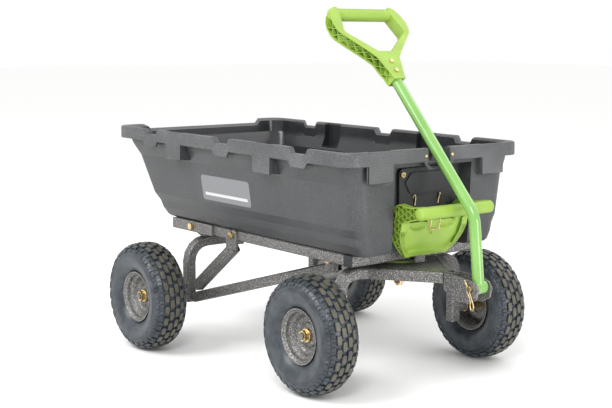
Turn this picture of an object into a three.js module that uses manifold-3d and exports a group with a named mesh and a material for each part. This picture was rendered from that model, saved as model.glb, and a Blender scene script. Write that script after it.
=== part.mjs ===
// Poly dump cart: moulded tub that tips on a tubular steel chassis with a steered front axle.
// Millimetres, +Z up, +X towards the pull handle, +Y to the cart's left, ground at Z = 0.
import * as THREE from 'three';
import { mergeVertices } from 'three/addons/utils/BufferGeometryUtils.js';
import Module from 'manifold-3d';

const wasm = await Module();
wasm.setup();

// ---- driving dimensions ----
const wheel_diameter = 260;
const tyre_width = 88;
const rim_flange_diameter = 121;
const spindle_diameter = 16;
const hub_length = 56;
const hub_inset = 18;
const wheelbase = 566;
const rear_track = 628;
const front_track = 500;
const tube_size = 25;
const tube_wall = 2;
const rear_leg_y = 195;
const front_leg_y = 169;
const leg_bottom_z = 99;
const tub_length = 944;
const tub_width = 508;
const rear_overhang = 250;
const rim_top_z = 525;
const rim_band = 30;
const wall = 5;
const rail_bottom_z = 274;
const rail_y = 168;
const tilt_pivot_x = -70;
const tilt_pivot_z = 287;
const tongue_reach = 124;
const handle_pin_z = 240;
const handle_bend_z = 392;
const handle_end_z = 660;
const handle_tube_diameter = 25;
const grip_width = 226;
const lever_width = 194;
const notch_half_width = 32;

// ---- named clearances ----
const touch_gap = 0.4;
const running_gap = 0.3;

// ---- derived sizes ----
const wheel_radius = wheel_diameter / 2;
const axle_z = wheel_radius;
const front_axle_x = wheelbase;
const tub_back_x = -rear_overhang;
const tub_front_x = tub_back_x + tub_length;
const floor_z = rail_bottom_z + tube_size + touch_gap;
const rail_front_x = tub_front_x - 72;
const handle_pin_x = tub_front_x + tongue_reach;
const handle_bend_x = handle_pin_x - 16;
const handle_end_x = handle_pin_x - 265;
const recess_half_width = lever_width / 2 + 15;
const recess_back_x = tub_front_x - 51;
const ear_radius = 20;
const frame_mid_x = (tub_back_x + handle_pin_x + ear_radius) / 2;
const hub_outer = spindle_diameter / 2 + 6;
const run_z = rail_bottom_z - 11.5 - tube_size / 2;

// ---- colours ----
const steel = new THREE.MeshStandardMaterial({ color: 0x565857, roughness: 0.5, metalness: 0.4 });
const poly = new THREE.MeshStandardMaterial({ color: 0x3c3e40, roughness: 0.6, metalness: 0 });
const lime = new THREE.MeshStandardMaterial({ color: 0x86c43c, roughness: 0.5, metalness: 0 });
const green = new THREE.MeshStandardMaterial({ color: 0x63c052, roughness: 0.3, metalness: 0.2 });
const black = new THREE.MeshStandardMaterial({ color: 0x1f2122, roughness: 0.6, metalness: 0 });
const zinc = new THREE.MeshStandardMaterial({ color: 0xc9a35a, roughness: 0.35, metalness: 0.8 });
const rubber = new THREE.MeshStandardMaterial({ color: 0x2e3338, roughness: 0.8, metalness: 0 });

const group = new THREE.Group();

// ---- shape helpers ----
function solid(geometry) {
  const plain = geometry.clone();
  plain.deleteAttribute('normal');
  plain.deleteAttribute('uv');
  const welded = mergeVertices(plain, 1e-4);
  const points = new Float32Array(welded.attributes.position.array);
  const faces = new Uint32Array(welded.index.array);
  return new wasm.Manifold(new wasm.Mesh({ numProp: 3, vertProperties: points, triVerts: faces }));
}

function add(...parts) {
  return parts.reduce((all, part) => all.add(part));
}

function piece(name, body, material) {
  const mesh = body.getMesh();
  const geometry = new THREE.BufferGeometry();
  geometry.setAttribute('position', new THREE.BufferAttribute(new Float32Array(mesh.vertProperties), 3));
  geometry.setIndex(new THREE.BufferAttribute(new Uint32Array(mesh.triVerts), 1));
  geometry.translate(-frame_mid_x, 0, 0);
  geometry.computeVertexNormals();
  const made = new THREE.Mesh(geometry, material);
  made.name = name;
  group.add(made);
}

function box(x0, x1, y0, y1, z0, z1) {
  const geometry = new THREE.BoxGeometry(x1 - x0, y1 - y0, z1 - z0);
  geometry.translate((x0 + x1) / 2, (y0 + y1) / 2, (z0 + z1) / 2);
  return solid(geometry);
}

function rod(from, to, radius, sides = 20) {
  const a = new THREE.Vector3(...from);
  const b = new THREE.Vector3(...to);
  const geometry = new THREE.CylinderGeometry(radius, radius, a.distanceTo(b), sides);
  const turn = new THREE.Quaternion();
  turn.setFromUnitVectors(new THREE.Vector3(0, 1, 0), b.clone().sub(a).normalize());
  geometry.applyQuaternion(turn);
  geometry.translate((a.x + b.x) / 2, (a.y + b.y) / 2, (a.z + b.z) / 2);
  return solid(geometry);
}

// Closed profile of [radius, y] turned about the wheel axis through (x, y, z).
function turned(profile, x, y, z, segments) {
  const points = profile.map(([r, along]) => new THREE.Vector2(r, along));
  if (THREE.ShapeUtils.area(points) < 0) points.reverse();
  points.push(points[0].clone());
  const geometry = new THREE.LatheGeometry(points, segments);
  geometry.translate(x, y, z);
  return solid(geometry);
}

function outline(points) {
  const shape = new THREE.Shape();
  points.forEach(([u, v], i) => (i ? shape.lineTo(u, v) : shape.moveTo(u, v)));
  shape.closePath();
  return shape;
}

// Flat plate: outline in X, Y between two heights.
function plate(points, z0, z1) {
  const geometry = new THREE.ExtrudeGeometry(outline(points), { depth: z1 - z0, bevelEnabled: false });
  geometry.translate(0, 0, z0);
  return solid(geometry);
}

// Upright plate: outline in X, Z between two sideways positions.
function side_plate(points, y0, y1) {
  const geometry = new THREE.ExtrudeGeometry(outline(points), { depth: y1 - y0, bevelEnabled: false });
  geometry.rotateX(Math.PI / 2);
  geometry.translate(0, y1, 0);
  return solid(geometry);
}

// Path through corner points with each inner corner rounded to a bend radius.
function bent(corners, radius, steps = 5) {
  const points = corners.map((c) => new THREE.Vector3(...c));
  const path = [points[0]];
  for (let i = 1; i < points.length - 1; i += 1) {
    const back = points[i - 1].clone().sub(points[i]).normalize();
    const ahead = points[i + 1].clone().sub(points[i]).normalize();
    const half = back.angleTo(ahead) / 2;
    const reach = radius / Math.tan(half);
    const centre = back.clone().add(ahead).normalize().multiplyScalar(radius / Math.sin(half)).add(points[i]);
    const start = points[i].clone().addScaledVector(back, reach).sub(centre);
    const stop = points[i].clone().addScaledVector(ahead, reach).sub(centre);
    const sweep = start.angleTo(stop);
    for (let k = 0; k <= steps; k += 1) {
      const t = k / steps;
      const a = Math.sin((1 - t) * sweep) / Math.sin(sweep);
      const b = Math.sin(t * sweep) / Math.sin(sweep);
      path.push(start.clone().multiplyScalar(a).addScaledVector(stop, b).add(centre));
    }
  }
  path.push(points[points.length - 1]);
  return path;
}

class Stations extends THREE.Curve {
  constructor(points) {
    super();
    this.points = points;
  }

  getPoint(t, target = new THREE.Vector3()) {
    const last = this.points.length - 1;
    const at = Math.min(Math.max(t, 0), 1) * last;
    const i = Math.min(Math.floor(at + 1e-9), last - 1);
    return target.lerpVectors(this.points[i], this.points[i + 1], at - i);
  }

  getPointAt(t, target) {
    return this.getPoint(t, target);
  }

  getTangentAt(t, target = new THREE.Vector3()) {
    const last = this.points.length - 1;
    const i = Math.round(Math.min(Math.max(t, 0), 1) * last);
    const before = this.points[Math.max(i - 1, 0)];
    const here = this.points[i];
    const after = this.points[Math.min(i + 1, last)];
    const into = here.clone().sub(before).normalize();
    const out = after.clone().sub(here).normalize();
    return target.copy(into.add(out).normalize());
  }
}

function squared(size, corner) {
  const h = size / 2;
  const c = h - corner;
  return [[-c, -h], [c, -h], [h, -c], [h, c], [c, h], [-c, h], [-h, c], [-h, -c]];
}

function round(radius, sides) {
  const points = [];
  for (let i = 0; i < sides; i += 1) {
    const turn = (2 * Math.PI * i) / sides;
    points.push([radius * Math.cos(turn), radius * Math.sin(turn)]);
  }
  return points;
}

function swept(section, path) {
  const options = { steps: path.length - 1, extrudePath: new Stations(path), bevelEnabled: false };
  return solid(new THREE.ExtrudeGeometry(outline(section), options));
}

// Square steel tube with its bore open at both ends.
function square_tube(path, stretch = 1) {
  const first = path[0].clone().sub(path[1]).normalize().multiplyScalar(stretch);
  const last = path[path.length - 1].clone().sub(path[path.length - 2]).normalize().multiplyScalar(stretch);
  const core = path.map((p) => p.clone());
  core[0].add(first);
  core[core.length - 1].add(last);
  const outside = swept(squared(tube_size, 3), path);
  return outside.subtract(swept(squared(tube_size - 2 * tube_wall, 1.5), core));
}

// Closed skin through rings of points that all have the same count.
function loft(rings) {
  const count = rings[0].length;
  const points = [];
  const faces = [];
  rings.forEach((ring) => ring.forEach(([x, y, z]) => points.push(x, y, z)));
  for (let k = 0; k < rings.length - 1; k += 1) {
    for (let i = 0; i < count; i += 1) {
      const j = (i + 1) % count;
      const a = k * count + i;
      const b = k * count + j;
      faces.push(a, b, b + count, a, b + count, a + count);
    }
  }
  const end = (rings.length - 1) * count;
  for (let i = 1; i < count - 1; i += 1) {
    faces.push(0, i + 1, i, end, end + i, end + i + 1);
  }
  const geometry = new THREE.BufferGeometry();
  geometry.setAttribute('position', new THREE.BufferAttribute(new Float32Array(points), 3));
  geometry.setIndex(faces);
  return solid(geometry);
}

// Ring of points round a rectangle with rounded corners, at one height.
function level(x0, x1, half_y, corner, z, steps = 5) {
  const ring = [];
  const corners = [[x1, half_y, 0], [x0, half_y, 90], [x0, -half_y, 180], [x1, -half_y, 270]];
  corners.forEach(([x, y, turn]) => {
    const cx = x - Math.sign(x - (x0 + x1) / 2) * corner;
    const cy = y - Math.sign(y) * corner;
    for (let k = 0; k <= steps; k += 1) {
      const a = ((turn + (90 * k) / steps) * Math.PI) / 180;
      ring.push([cx + corner * Math.cos(a), cy + corner * Math.sin(a), z]);
    }
  });
  return ring;
}

function mirrored(body) {
  return body.mirror([0, 1, 0]);
}

function pair(name, body, material) {
  piece(`${name}_r`, body, material);
  piece(`${name}_l`, mirrored(body), material);
}

// Hexagon-headed bolt: shank along a direction with its head on the outside.
function bolt(head_at, direction, shank_radius, length, head_radius, head_height) {
  const at = new THREE.Vector3(...head_at);
  const way = new THREE.Vector3(...direction).normalize();
  const tip = at.clone().addScaledVector(way, length);
  const cap = at.clone().addScaledVector(way, -head_height);
  const root = at.clone().addScaledVector(way, -1);
  const shank = rod(root.toArray(), tip.toArray(), shank_radius, 12);
  return shank.add(rod(cap.toArray(), at.toArray(), head_radius, 6));
}

// ---- wheels ----
// Pneumatic tyre on a pressed rim with a hub sleeve, turning on a spindle with washer and nut.
function wheel(tag, x, y) {
  const s = Math.sign(y);
  const half = tyre_width / 2;
  const hub_y = y - s * hub_inset;
  const flange = rim_flange_diameter / 2;
  const seat = flange - 6;
  const rim_half = 30;
  const tyre_profile = [
    [seat + touch_gap, -rim_half + 6],
    [flange + 1, -rim_half + 3],
    [flange + 12, -half + 6],
    [wheel_radius - 42, -half],
    [wheel_radius - 18, -half + 4],
    [wheel_radius, -half + 28],
    [wheel_radius, half - 28],
    [wheel_radius - 18, half - 4],
    [wheel_radius - 42, half],
    [flange + 12, half - 6],
    [flange + 1, rim_half - 3],
    [seat + touch_gap, rim_half - 6],
    [seat + touch_gap, rim_half - 14],
    [wheel_radius - 30, half - 10],
    [wheel_radius - 14, half - 26],
    [wheel_radius - 14, -half + 26],
    [wheel_radius - 30, -half + 10],
    [seat + touch_gap, -rim_half + 14],
  ];
  piece(`tyre_${tag}`, turned(tyre_profile, x, y, axle_z, 24), rubber);
  const face = s * (16 - hub_inset);
  const rim_profile = [
    [hub_outer + touch_gap, face],
    [hub_outer + touch_gap, face - s * 3],
    [34, face - s * 3],
    [seat - 3, face - s * 10],
    [seat - 3, -s * (rim_half - 3)],
    [flange - 3, -s * (rim_half + 1)],
    [flange, -s * (rim_half + 1)],
    [flange, -s * (rim_half - 1)],
    [seat, -s * (rim_half - 2)],
    [seat, s * (rim_half - 2)],
    [flange, s * (rim_half - 1)],
    [flange, s * (rim_half + 1)],
    [flange - 3, s * (rim_half + 1)],
    [seat - 3, s * (rim_half - 3)],
    [seat - 3, face],
  ];
  piece(`wheel_rim_${tag}`, turned(rim_profile, x, y, axle_z, 24), steel);
  const bore = spindle_diameter / 2 + running_gap;
  const sleeve = [
    [bore, -hub_length / 2],
    [hub_outer, -hub_length / 2],
    [hub_outer, hub_length / 2],
    [bore, hub_length / 2],
  ];
  piece(`hub_sleeve_${tag}`, turned(sleeve, x, hub_y, axle_z, 16), zinc);
  const nut_at = hub_y + s * (hub_length / 2 + running_gap);
  const washer = [
    [bore, 0],
    [15, 0],
    [15, s * 2],
    [bore, s * 2],
  ];
  piece(`axle_washer_${tag}`, turned(washer, x, nut_at, axle_z, 16), zinc);
  const nut = rod([x, nut_at + s * 2.4, axle_z], [x, nut_at + s * 12, axle_z], 12.5, 6);
  const hole = rod([x, nut_at, axle_z], [x, nut_at + s * 20, axle_z], bore, 16);
  piece(`axle_nut_${tag}`, nut.subtract(hole), zinc);
}

// Spindle through a leg, with a shoulder between the leg's outer face and the hub.
function spindle(x, leg_y, wheel_y) {
  const s = Math.sign(wheel_y);
  const inner = s * (leg_y - tube_size / 2 + 1);
  const face = s * (leg_y + tube_size / 2 - 1);
  const hub_y = wheel_y - s * hub_inset;
  const end = hub_y + s * (hub_length / 2 + 15);
  const collar = hub_y - s * (hub_length / 2 + running_gap);
  const shaft = rod([x, inner, axle_z], [x, end, axle_z], spindle_diameter / 2, 20);
  return shaft.add(rod([x, face, axle_z], [x, collar, axle_z], hub_outer - 2, 20));
}

wheel('rear_r', 0, -rear_track / 2);
wheel('rear_l', 0, rear_track / 2);
wheel('front_r', front_axle_x, -front_track / 2);
wheel('front_l', front_axle_x, front_track / 2);

// ---- rear arch: bent square tube with a spindle welded through each foot ----
const arch_top_z = rail_bottom_z - 14.5 - tube_size / 2;
const arch_path = bent([
  [0, -rear_leg_y, leg_bottom_z],
  [0, -rear_leg_y, arch_top_z],
  [0, rear_leg_y, arch_top_z],
  [0, rear_leg_y, leg_bottom_z],
], 48, 4);
const rail_out = rail_y + tube_size / 2;
const rail_in = rail_y - tube_size / 2;
const pivot_hole = rod([tilt_pivot_x, -300, tilt_pivot_z], [tilt_pivot_x, 300, tilt_pivot_z], 6.3, 16);
const arm = side_plate([
  [tilt_pivot_x - 10, tilt_pivot_z - 5],
  [tilt_pivot_x - 10, tilt_pivot_z + 5],
  [tilt_pivot_x - 4, tilt_pivot_z + 10],
  [4, tilt_pivot_z + 9],
  [12, arch_top_z + tube_size / 2 - 1],
  [-12, arch_top_z + tube_size / 2 - 1],
  [tilt_pivot_x, tilt_pivot_z - 12],
], -rail_in + 1, -rail_in + 9);
let arch = square_tube(arch_path);
for (const s of [-1, 1]) {
  arch = arch.add(spindle(0, rear_leg_y, (s * rear_track) / 2));
}
piece('rear_axle_arch', add(arch, arm, mirrored(arm)).subtract(pivot_hole), steel);
const pivot_pin = bolt([tilt_pivot_x, -rail_in + 9 + touch_gap, tilt_pivot_z], [0, -1, 0], 6, 34, 10, 7);
pair('tilt_pivot_bolt', pivot_pin, zinc);

// ---- diagonal braces: from each rear foot up to a rest tab under the rail ----
const rest_x = 178;
const rest_z = rail_bottom_z + 13;
const brace_foot = [23.5 + tube_size / 2, -rear_leg_y + 2, 118 + tube_size];
const cheek_in = rail_out + touch_gap;
const cheek_out = cheek_in + 6;
const brace_head = [rest_x - 10, -rail_y - 4, rail_bottom_z - 5.5 - tube_size / 2];
const brace = square_tube(bent([brace_foot, brace_head], 10));
const tab = box(rest_x - 26, rest_x + 16, -cheek_out, -cheek_in, rail_bottom_z - 22, rail_bottom_z + 24);
const pad_under = rail_bottom_z - touch_gap;
const seat_pad = box(rest_x - 26, rest_x + 16, -cheek_in - 1, -rail_y + 4, pad_under - 7.6, pad_under);
const rest_hole = rod([rest_x, -300, rest_z], [rest_x, 0, rest_z], 5.3, 12);
const brace_body = add(brace, tab, seat_pad).subtract(rest_hole);
pair('diagonal_brace', brace_body, steel);
const rest_bolt = bolt([rest_x, -cheek_out - touch_gap, rest_z], [0, 1, 0], 5, 5.6, 9, 7);
pair('rest_tab_bolt', rest_bolt, zinc);

// ---- lower beams: from each rear foot to the kingpin carrier ----
const lug_x = front_axle_x - 141;
const lug_z = run_z;
const beam_start = [7 + tube_size / 2, -rear_leg_y + 6, 124.5 - tube_size / 2];
const beam_end = [lug_x + 3, -64, lug_z - 14];
const beam = square_tube(bent([beam_start, beam_end], 10));
const lug_in = 64 + tube_size / 2 - 3;
const lug_out = 64 + 0.74 * tube_size;
const beam_lug = box(lug_x - 15, lug_x + 15, -lug_out, -lug_in, lug_z - 26, lug_z + 12);
const lug_hole = rod([lug_x, -200, lug_z], [lug_x, -60, lug_z], 4.3, 12);
pair('lower_beam', beam.add(beam_lug).subtract(lug_hole), steel);

// ---- kingpin carrier: fixed cross plate above the steered axle ----
const carrier_z0 = run_z + tube_size / 2 + 5;
const carrier_z1 = carrier_z0 + 6;
const carrier_plate = plate([
  [front_axle_x - 162, -96],
  [front_axle_x - 96, -84],
  [front_axle_x + 24, -40],
  [front_axle_x + 24, 40],
  [front_axle_x - 96, 84],
  [front_axle_x - 162, 96],
], carrier_z0, carrier_z1);
const cheek_face = lug_out + touch_gap + 6;
const cheek_box = box(lug_x - 17, lug_x + 17, -cheek_face, -lug_out - touch_gap, lug_z - 9, carrier_z0 + 1);
const carrier_cheek = cheek_box.subtract(lug_hole);
const kingpin_hole = rod([front_axle_x, 0, run_z - 50], [front_axle_x, 0, run_z + 50], 8.3, 20);
const strike_x = recess_back_x - 7;
const strike_arm = box(front_axle_x + 14, strike_x, -14, 14, carrier_z0, carrier_z1 - 1);
const strike_tip = box(strike_x - 6, strike_x, -14, 14, carrier_z0, carrier_z0 + 16.5);
const carrier_top = add(carrier_plate, strike_arm, strike_tip).subtract(kingpin_hole);
piece('kingpin_carrier', add(carrier_top, carrier_cheek, mirrored(carrier_cheek)), steel);
pair('carrier_bolt', bolt([lug_x, -cheek_face - touch_gap, lug_z], [0, 1, 0], 4, 16, 8, 6), zinc);

// ---- steered front axle: two bent tubes meeting in a vee, with plates and clevis ears ----
const vee_x = handle_pin_x - 96;
const front_path = bent([
  [front_axle_x, -front_leg_y, leg_bottom_z],
  [front_axle_x, -front_leg_y, run_z],
  [front_axle_x + 12, -108, run_z],
  [vee_x, -9, run_z],
], 36, 4);
const half_axle = square_tube(front_path);
const top_plate = plate([
  [front_axle_x - 14, -104],
  [front_axle_x + 16, -104],
  [vee_x, -12],
  [vee_x, 12],
  [front_axle_x + 16, 104],
  [front_axle_x - 14, 104],
  [front_axle_x - 34, 40],
  [front_axle_x - 34, -40],
], run_z + tube_size / 2 - 6, run_z + tube_size / 2);
let front_axle = add(half_axle, mirrored(half_axle), top_plate);
for (const s of [-1, 1]) {
  front_axle = front_axle.add(spindle(front_axle_x, front_leg_y, (s * front_track) / 2));
}
const kingpin_boss = rod([front_axle_x, 0, run_z - 26], [front_axle_x, 0, run_z + tube_size / 2 - 1], 16, 20);
front_axle = front_axle.add(kingpin_boss).subtract(kingpin_hole);
piece('steering_axle', front_axle, steel);

const ear_in = 17;
const ear_out = 22;
const ear = side_plate([
  [vee_x - 24, run_z + tube_size / 2 - 2],
  [vee_x - 24, run_z - tube_size / 2],
  [vee_x + 60, handle_pin_z - 34],
  [handle_pin_x - 8, handle_pin_z - 34],
  [handle_pin_x + ear_radius - 6, handle_pin_z - 22],
  [handle_pin_x + ear_radius, handle_pin_z],
  [handle_pin_x + ear_radius - 8, handle_pin_z + ear_radius - 8],
  [handle_pin_x, handle_pin_z + ear_radius - 4],
  [vee_x + 40, run_z + tube_size / 2 - 2],
], -ear_out, -ear_in);
const web_low = run_z - 22;
const web = box(vee_x + 14, vee_x + 19, -ear_in - 1, ear_in + 1, web_low, run_z + tube_size / 2 - 2);
const web_floor = box(vee_x + 14, handle_pin_x - 40, -ear_in - 1, ear_in + 1, web_low, web_low + 4);
const pin_hole = rod([handle_pin_x, -60, handle_pin_z], [handle_pin_x, 60, handle_pin_z], 6.3, 16);
const tongue_body = add(ear, mirrored(ear), web, web_floor).subtract(pin_hole);
const clear_block = box(vee_x - 60, vee_x + 13.5, -60, 60, run_z - 50, run_z + 50);
piece('tongue_clevis', tongue_body.subtract(clear_block), steel);

// ---- kingpin with its nut and the green thrust disc between the plates ----
const disc = [
  [8.3, 0],
  [44, 0],
  [44, 4.2],
  [8.3, 4.2],
];
const disc_points = disc.map(([r, h]) => new THREE.Vector2(r, h));
disc_points.push(disc_points[0].clone());
const disc_geometry = new THREE.LatheGeometry(disc_points, 24);
disc_geometry.rotateX(Math.PI / 2);
disc_geometry.translate(front_axle_x, 0, run_z + tube_size / 2 + 0.4);
piece('kingpin_thrust_disc', solid(disc_geometry), lime);
const king_shank = rod([front_axle_x, 0, run_z - 44], [front_axle_x, 0, carrier_z1 + 1], 8, 16);
const king_head = rod([front_axle_x, 0, carrier_z1 + 0.4], [front_axle_x, 0, carrier_z1 + 10], 13, 6);
piece('kingpin_bolt', king_shank.add(king_head), zinc);
const king_nut = rod([front_axle_x, 0, run_z - 39], [front_axle_x, 0, run_z - 27], 13, 6);
piece('kingpin_nut', king_nut.subtract(kingpin_hole), zinc);

// ---- tub frame: side rails and front cross rail under the tub, with plastic end caps ----
const rail_mid_z = rail_bottom_z + tube_size / 2;
const rail_back_x = -90;
const rail_ends = [[rail_back_x, -rail_y, rail_mid_z], [rail_front_x - tube_size - 0.5, -rail_y, rail_mid_z]];
const sleeve_hole = rod([0, -300, rest_z], [0, -rail_y, rest_z], 5.3, 12);
const rail = square_tube(bent(rail_ends, 10));
const near_pivot = rod([tilt_pivot_x, -300, tilt_pivot_z], [tilt_pivot_x, 0, tilt_pivot_z], 6.3, 16);
pair('side_rail', add(rail).subtract(near_pivot).subtract(sleeve_hole), steel);
const splice_out = rail_out + 6;
const splice_top = rail_bottom_z + tube_size;
const sleeve_plate = box(rail_back_x, 90, -splice_out, -rail_out - touch_gap, rail_bottom_z - 1, splice_top);
pair('rail_splice', sleeve_plate.subtract(sleeve_hole), steel);
pair('rail_splice_bolt', bolt([0, -splice_out - touch_gap, rest_z], [0, 1, 0], 5, 12, 9, 7), zinc);
const cross_mid_x = rail_front_x - tube_size / 2;
const cross_ends = [[cross_mid_x, -rail_out, rail_mid_z], [cross_mid_x, rail_out, rail_mid_z]];
const cross = square_tube(bent(cross_ends, 10));
piece('front_cross_rail', cross, steel);
const plug_half = tube_size / 2 - tube_wall - touch_gap;
const cap_back_x = rail_front_x - tube_size;
const cap_out = box(cap_back_x, rail_front_x, -rail_out - 4.5, -rail_out - 0.4, rail_bottom_z, splice_top);
const plug_ends = [[cross_mid_x, -rail_out - 1, rail_mid_z], [cross_mid_x, -rail_out + 14, rail_mid_z]];
const plug_path = bent(plug_ends, 1);
const cap_in = swept(squared(2 * plug_half, 2), plug_path);
pair('rail_end_cap', cap_out.add(cap_in), black);

// ---- tub: one rotomoulded shell with a downturned rim ----
const w = tub_width / 2;
const rim_low = rim_top_z - rim_band;
const fx = tub_front_x;
const bx = tub_back_x;
const rear_wall_x = [132, 114, 107, 94, 48, 32, 26, 24].map((inset) => bx + inset);
const front_wall_x = [26, 23, 22, 20, 16, 14, 13, 13].map((inset) => fx - inset);
const wall_y = [70, 56, 51, 43, 28, 16, 14, 13].map((inset) => w - inset);
const ledge_z = [200, 182, 163, 70, 43].map((down) => rim_top_z - down);
const wall_z = [floor_z, ...ledge_z, rim_low - 4, rim_top_z - wall];
const corner_r = [30, 32, 34, 36, 38, 40, 40, 40];
const shell = [];
for (let i = 0; i < wall_z.length; i += 1) {
  shell.push(level(rear_wall_x[i], front_wall_x[i], wall_y[i], corner_r[i], wall_z[i]));
}
shell.push(level(bx + wall, fx - wall, w - wall, 31, rim_top_z - wall));
shell.push(level(bx + wall, fx - wall, w - wall, 31, rim_low));
shell.push(level(bx, fx, w, 36, rim_low));
shell.push(level(bx, fx, w, 36, rim_top_z));
for (let i = wall_z.length - 1; i >= 0; i -= 1) {
  const z = i === wall_z.length - 1 ? rim_top_z : wall_z[i] + (i ? 0 : wall);
  shell.push(level(rear_wall_x[i] + wall, front_wall_x[i] - wall, wall_y[i] - wall, corner_r[i] - wall, z));
}
let tub = loft(shell);

// Stake pockets: two each side and two in front, flush with the rim's face.
const pocket_x = [fx - 667, fx - 301];
const pocket_w = 64;
const pocket_z = rim_top_z - 67;
for (const x of pocket_x) {
  for (const s of [-1, 1]) {
    const out = s < 0 ? [-w, 31 - w] : [w - 31, w];
    const inn = s < 0 ? [-w + wall, 42 - w] : [w - 42, w - wall];
    const left = x - pocket_w / 2;
    const right = x + pocket_w / 2;
    tub = tub.add(box(left, right, out[0], out[1], pocket_z, rim_top_z));
    tub = tub.subtract(box(left + wall, right - wall, inn[0], inn[1], pocket_z + wall, rim_top_z + 9));
  }
}
for (const y of [91 - w, w - 91]) {
  tub = tub.add(box(fx - 19, fx, y - 38, y + 38, pocket_z, rim_top_z));
  tub = tub.subtract(box(fx - 34, fx - wall, y - 33, y + 33, pocket_z + wall, rim_top_z + 9));
}

// Front recess for the release lever, its back wall and the handle notch above it.
const recess_top_z = rim_top_z - 41;
const hollow = box(recess_back_x, fx + 26, -recess_half_width, recess_half_width, floor_z - 20, recess_top_z);
const surround_y = recess_half_width + wall;
const surround = box(recess_back_x - wall, fx - 26, -surround_y, surround_y, floor_z, recess_top_z + wall);
tub = tub.add(surround).subtract(hollow);
const notch_y = notch_half_width;
for (const y of [-notch_y - 2.5, notch_y + 2.5]) {
  tub = tub.add(box(fx - 20, fx, y - 2.5, y + 2.5, recess_top_z - 6, rim_top_z - 1));
  tub = tub.add(box(fx - wall, fx, y - 6.5, y + 6.5, recess_top_z - 6, rim_low + 1));
}
tub = tub.subtract(box(fx - 42, fx + 26, -notch_y, notch_y, rim_top_z - 85, rim_top_z + 75));

// Castellations: the rim steps down between the pockets, and the rear lip is lower for pouring.
const step_down = 13;
const steps_x = [fx - 776, fx - 463, fx - 168];
for (const x of steps_x) {
  for (const s of [-1, 1]) {
    const span = (inner, outer) => (s < 0 ? [-outer, -inner] : [inner, outer]);
    const [a0, a1] = span(w - wall, w);
    const [b0, b1] = span(w - 17, w - 1);
    const [c0, c1] = span(w - 24, w + 1);
    tub = tub.add(box(x - 27, x + 27, a0, a1, rim_low - step_down, rim_low + 1));
    tub = tub.add(box(x - 27, x + 27, b0, b1, rim_top_z - wall - step_down, rim_top_z - 1));
    tub = tub.subtract(box(x - 27, x + 27, c0, c1, rim_top_z - step_down, rim_top_z + 5));
  }
}
const lip_y = w - 78;
tub = tub.add(box(bx + 1, bx + 28, -lip_y, lip_y, rim_top_z - wall - 12, rim_top_z - 1));
tub = tub.subtract(box(bx - 5, bx + 38, -lip_y, lip_y, rim_top_z - 12, rim_top_z + 5));
piece('tub', tub, poly);

// ---- latch panel in the recess, with the lever's pin lugs ----
const panel_back_x = recess_back_x + touch_gap;
const lever_pin_x = recess_back_x + 15;
const lever_pin_z = rim_top_z - 142;
const panel_half = lever_width / 2 - 20;
const bolt_y = panel_half - 8;
const bolt_z = rim_top_z - 58;
const panel_front_x = panel_back_x + 9;
const panel_plate = box(panel_back_x, panel_front_x, -panel_half, panel_half, floor_z + 6, recess_top_z - 4);
const panel_field = box(panel_back_x + 8, panel_back_x + 14, -44, 44, rim_top_z - 105, rim_top_z - 63);
let panel = panel_plate.add(panel_field);
const lug_points = [
  [panel_back_x + 7, lever_pin_z + 14],
  [panel_back_x + 7, lever_pin_z - 14],
  [lever_pin_x + 2, lever_pin_z - 11],
  [lever_pin_x + 10, lever_pin_z],
  [lever_pin_x + 2, lever_pin_z + 11],
];
const lug = side_plate(lug_points, 5 - panel_half, 15 - panel_half);
const lever_pin_hole = rod([lever_pin_x, -120, lever_pin_z], [lever_pin_x, 120, lever_pin_z], 5.3, 16);
panel = add(panel, lug, mirrored(lug));
const panel_bolt_hole = rod([recess_back_x - 143, -bolt_y, bolt_z], [fx + 6, -bolt_y, bolt_z], 3.3, 12);
panel = panel.subtract(lever_pin_hole).subtract(panel_bolt_hole).subtract(mirrored(panel_bolt_hole));
piece('latch_panel', panel, black);
const panel_bolt = bolt([panel_back_x + 9 + touch_gap, -bolt_y, bolt_z], [-1, 0, 0], 3, 9, 7, 5);
pair('panel_bolt', panel_bolt, zinc);
const web_pin = lever_width / 2 - 2;
const pivot_pin_ends = [-web_pin, web_pin].map((y) => [lever_pin_x, y, lever_pin_z]);
piece('lever_pivot_pin', rod(...pivot_pin_ends, 5, 16), zinc);

// ---- release lever: two side webs, a skirt and a round grip bar ----
const web_out = lever_width / 2;
const at_pin = ([x, z]) => [lever_pin_x + x, lever_pin_z + z];
const web_points = [
  [-12.5, -17],
  [-12.5, 5],
  [-8, 12],
  [4, 19],
  [18, 26],
  [46, 21],
  [84, 26],
  [84, -2],
  [46, -9],
  [26, -17],
  [23, -33],
  [10, -71],
  [-4, -97],
  [-12.5, -97],
].map(at_pin);
const lever_web = side_plate(web_points, -web_out, -web_out + 16);
const skirt_points = [
  [26, -17],
  [23, -33],
  [10, -71],
  [-4, -97],
  [-12.5, -97],
  [-11.5, -92],
  [-7, -92],
  [4, -69],
  [17, -32],
  [19, -17],
].map(at_pin);
const skirt = side_plate(skirt_points, -web_out + 1, web_out - 1);
const bar_x = lever_pin_x + 87;
const bar_z = lever_pin_z + 12;
const bar_y = web_out + 10;
const grip_bar = rod([bar_x, -bar_y, bar_z], [bar_x, bar_y, bar_z], 14, 20);
const lever_hole = rod([lever_pin_x, -120, lever_pin_z], [lever_pin_x, 120, lever_pin_z], 5.3, 16);
piece('release_lever', add(lever_web, mirrored(lever_web), skirt, grip_bar).subtract(lever_hole), lime);
const bail_x = lever_pin_x + 10;
const bail_ends = [[-13, -17], [-13, -39], [13, -39], [13, -17]];
const bail_path = bent(bail_ends.map(([y, z]) => [bail_x, y, lever_pin_z + z]), 4, 3);
piece('latch_spring_bail', swept(round(1.6, 8), bail_path), zinc);

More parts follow.
